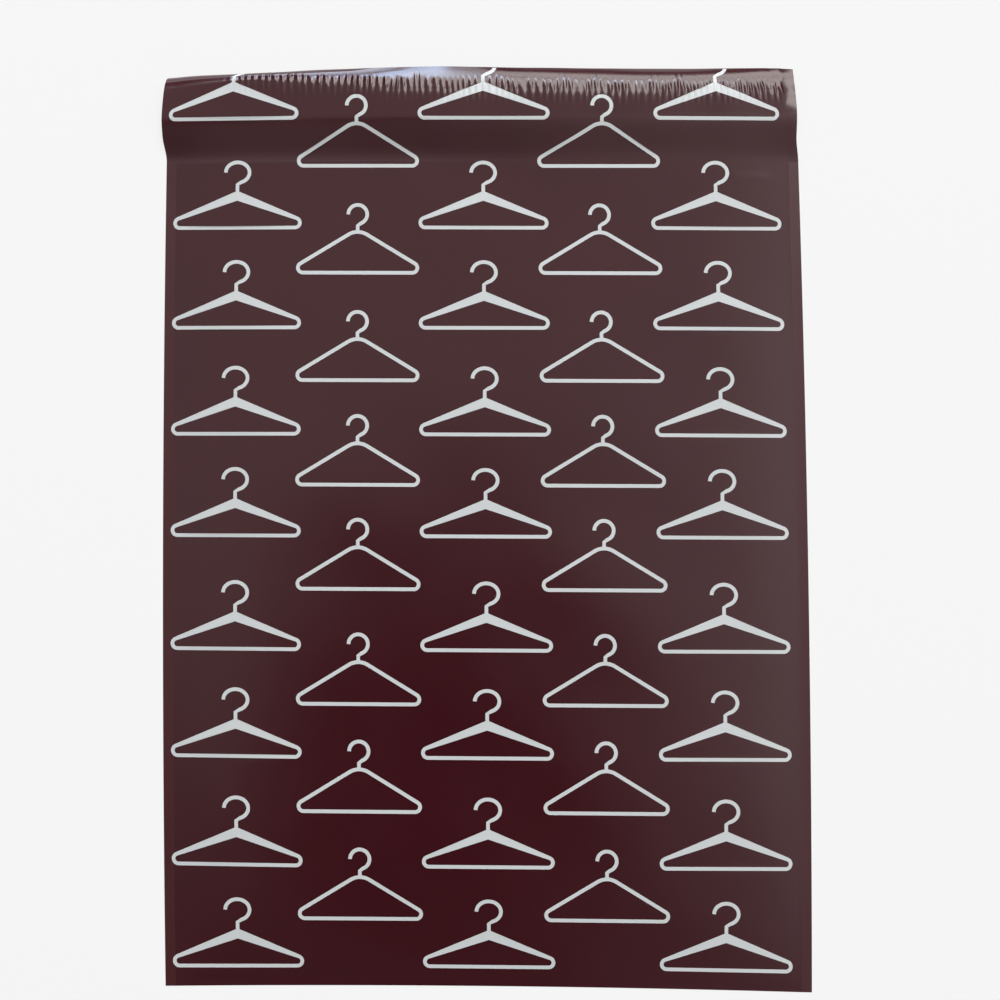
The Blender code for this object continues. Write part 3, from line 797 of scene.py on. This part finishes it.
def add(tree, kind, settings=None, inputs=None):
    """Adds a node. Each input is a value, or the output that feeds it."""
    node = tree.nodes.new(kind)
    for name, value in (settings or {}).items():
        setattr(node, name, value)
    for name, value in (inputs or {}).items():
        if isinstance(value, bpy.types.NodeSocket):
            tree.links.new(value, node.inputs[name])
        else:
            node.inputs[name].default_value = value
    return node


def new_material(name):
    """A material with nothing in it but its output."""
    material = bpy.data.materials.new(name)
    material.use_nodes = True
    material.node_tree.nodes.clear()
    return material, add(material.node_tree, "ShaderNodeOutputMaterial")


def maths(tree, operation, *values):
    """The result of one operation on values or outputs."""
    inputs = dict(enumerate(values))
    return add(tree, "ShaderNodeMath", {"operation": operation}, inputs).outputs["Value"]


def ramp(tree, value, spans, kind="SMOOTHSTEP"):
    """A value carried from one span to another, and held beyond their ends."""
    (low, high), (start, end) = spans
    inputs = {"Value": value, "From Min": low, "From Max": high, 3: start, 4: end}
    return add(tree, "ShaderNodeMapRange", {"interpolation_type": kind}, inputs).outputs["Result"]


def noise(tree, place, size, **settings):
    """Noise with grains of about this size."""
    inputs = {"Vector": place, "Scale": 1 / size, **settings}
    return add(tree, "ShaderNodeTexNoise", inputs=inputs).outputs["Fac"]


def bumped(tree, height, distance):
    """The surface's direction under bumps that are this high where the height is 1."""
    inputs = {"Height": height, "Strength": 1.0, "Distance": distance}
    return add(tree, "ShaderNodeBump", inputs=inputs).outputs["Normal"]


def camera_share(tree, lit, plain, share):
    """A shader that shows the camera this share of a plain one, and all else the lit one."""
    seen = add(tree, "ShaderNodeLightPath").outputs["Is Camera Ray"]
    inputs = {0: maths(tree, "MULTIPLY", seen, share), 1: lit, 2: plain}
    return add(tree, "ShaderNodeMixShader", inputs=inputs).outputs["Shader"]


def soft_foot(tree, place):
    """How far the gloss is softened along the flap's foot, where the adhesive pulls: 0 to 1."""
    northward = add(tree, "ShaderNodeSeparateXYZ", inputs={"Vector": place}).outputs["Y"]
    ramps = [ramp(tree, northward, spans) for spans in (SOFT_FROM, SOFT_TO)]
    return maths(tree, "MULTIPLY", *ramps)


def film_finish(name, colours, roughness, grain, softening=0.0):
    """Blown film: a soft clouding of the colour and gloss, and a fine pebbled grain."""
    material, output = new_material(name)
    tree = material.node_tree
    place = add(tree, "ShaderNodeTexCoord").outputs["Object"]
    cloud = noise(tree, place, CLOUD_SIZE, Detail=CLOUD_DETAIL, Roughness=CLOUD_CONTRAST)
    # Film is drawn across the bag as it is blown, so its streaks run along X
    stretch = {"Vector": place, "Scale": STREAK_STRETCH}
    drawn = add(tree, "ShaderNodeMapping", inputs=stretch).outputs["Vector"]
    streak = noise(tree, drawn, STREAK_SIZE, Detail=GRAIN_DETAIL)
    pebble = noise(tree, place, PEBBLE_SIZE, Detail=GRAIN_DETAIL)
    clouded = {"Factor": cloud, 6: linear(colours[0]), 7: linear(colours[1])}
    colour = add(tree, "ShaderNodeMix", {"data_type": "RGBA"}, clouded).outputs[2]
    dull = ramp(tree, cloud, (CLOUD_RANGE, roughness), "LINEAR")
    if softening:
        dull = maths(tree, "MULTIPLY_ADD", soft_foot(tree, place), softening, dull)
    bump = bumped(tree, maths(tree, "ADD", pebble, streak), grain)
    shading = {"Base Color": colour, "Roughness": dull, "Normal": bump, "IOR": FILM_IOR}
    shader = add(tree, "ShaderNodeBsdfPrincipled", inputs=shading)
    tree.links.new(shader.outputs["BSDF"], output.inputs["Surface"])
    return material


# -------------------------------------------------------------- the table and the light


def build_table():
    """The pale table. It shows the camera its own pale colour and keeps a soft shadow."""
    bpy.ops.mesh.primitive_plane_add(size=TABLE_SIZE, location=(0.0, 0.0, -TABLE_DROP))
    table = bpy.context.object
    table.name = "table"
    material, output = new_material("pale matt table")
    tree = material.node_tree
    place = add(tree, "ShaderNodeTexCoord").outputs["Object"]
    bump = bumped(tree, noise(tree, place, TABLE_GRAIN), TABLE_GRAIN_HEIGHT)
    shading = {"Base Color": linear(TABLE_COLOUR), "Roughness": TABLE_ROUGHNESS, "Normal": bump}
    lit = add(tree, "ShaderNodeBsdfPrincipled", inputs=shading).outputs["BSDF"]
    plain = add(tree, "ShaderNodeEmission", inputs={"Color": linear(BACKDROP), "Strength": 1.0})
    mixed = camera_share(tree, lit, plain.outputs["Emission"], BACKDROP_SHARE)
    tree.links.new(mixed, output.inputs["Surface"])
    table.data.materials.append(material)
    return table


def build_world():
    """Soft room light: even overhead, brighter to the right, dim towards the near side
    and darkest just above the bag, where whoever looks at it stands."""
    world = bpy.data.worlds.new("soft room")
    bpy.context.scene.world = world
    world.use_nodes = True
    tree = world.node_tree
    tree.nodes.clear()
    output = add(tree, "ShaderNodeOutputWorld")
    sky = add(tree, "ShaderNodeTexCoord").outputs["Generated"]
    split = add(tree, "ShaderNodeSeparateXYZ", inputs={"Vector": sky}).outputs
    climb = maths(tree, "MAXIMUM", split["Z"], LEAST_CLIMB)
    east = maths(tree, "DIVIDE", split["X"], climb)
    north = maths(tree, "DIVIDE", split["Y"], climb)
    level = maths(tree, "ADD", ramp(tree, north, NORTH_LIGHT), ramp(tree, east, EAST_LIGHT))
    # A dark wall beyond the far window, then brighter again down at the table's level
    level = maths(tree, "MULTIPLY", level, ramp(tree, north, FAR_WALL))
    level = maths(tree, "ADD", level, ramp(tree, north, LEVEL_LIGHT))
    # The dim patch: a long shape from overhead towards the near side
    reach = []
    for run, middle, radius in zip((east, north), DIM_MIDDLE, DIM_RADII):
        share = maths(tree, "DIVIDE", maths(tree, "SUBTRACT", run, middle), radius)
        reach.append(maths(tree, "MULTIPLY", share, share))
    dim = ramp(tree, maths(tree, "ADD", *reach), DIM_FADE)
    light = {"Color": linear("#FFFFFF"), "Strength": maths(tree, "MULTIPLY", level, dim)}
    room = add(tree, "ShaderNodeBackground", inputs=light).outputs["Background"]
    light = {"Color": linear(BACKDROP), "Strength": 1.0}
    pale = add(tree, "ShaderNodeBackground", inputs=light).outputs["Background"]
    tree.links.new(camera_share(tree, room, pale, 1.0), output.inputs["Surface"])


def softbox(name, place, size, power, colour):
    """A large soft lamp that faces the flap."""
    lamp = bpy.data.lights.new(name, "AREA")
    lamp.shape = "RECTANGLE"
    lamp.size, lamp.size_y = size
    lamp.energy = power
    lamp.color = linear(colour)[:3]
    holder = bpy.data.objects.new(name, lamp)
    holder.location = place
    away = [place[i] - FLAP_MIDDLE[i] for i in range(3)]
    flat = math.hypot(away[0], away[1])
    holder.rotation_euler = (math.atan2(flat, away[2]), 0.0, math.atan2(away[0], -away[1]))
    bpy.context.scene.collection.objects.link(holder)
    return holder


def build_camera():
    """The photograph's camera, above the bag."""
    view = bpy.data.cameras.new("photograph's view")
    view.lens = CAMERA_LENS
    view.sensor_width = SENSOR
    view.clip_start, view.clip_end = CAMERA_REACH
    camera = bpy.data.objects.new("photograph's view", view)
    camera.location = (CAMERA_PLACE[0], FOLD_AT + CAMERA_PLACE[1], CAMERA_PLACE[2])
    camera.rotation_euler = CAMERA_TURN
    bpy.context.scene.collection.objects.link(camera)
    bpy.context.scene.camera = camera


# --------------------------------------------------------------------------- the bag


def build_bag():
    """The film, and the strip and liner under its flap, each with what it stands for."""
    printed = film_finish(*FACE, softening=SOFTENING)
    # The weld finish is lighter than the face, as a painted sheen along the side seams
    ink, lining, weld_and_sheen, adhesive, liner = (
        film_finish(*finish) for finish in (INK, LINING, WELD_AND_SHEEN, ADHESIVE, LINER)
    )

    film = build_film([printed, ink, lining, weld_and_sheen])
    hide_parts("mailer_film")

    strip_depth = FILM + SEAT_GAP
    strip = build_band(
        "hot_melt_strip",
        WIDTH / 2 - STRIP_END,
        STRIP_NEAR,
        STRIP_FAR,
        strip_depth,
        STRIP_THICKNESS,
        adhesive,
    )
    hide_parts("adhesive_strip")

    cover = build_band(
        "liner_strip",
        WIDTH / 2 - LINER_END,
        STRIP_NEAR - LINER_OVERHANG,
        STRIP_FAR + LINER_OVERHANG,
        strip_depth + STRIP_THICKNESS + SEAT_GAP,
        LINER_THICKNESS,
        liner,
    )
    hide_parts("release_liner")


build_bag()
build_table()
build_world()
for lamp in LAMPS:
    softbox(*lamp)
build_camera()
bpy.context.scene.view_settings.view_transform = "Standard"
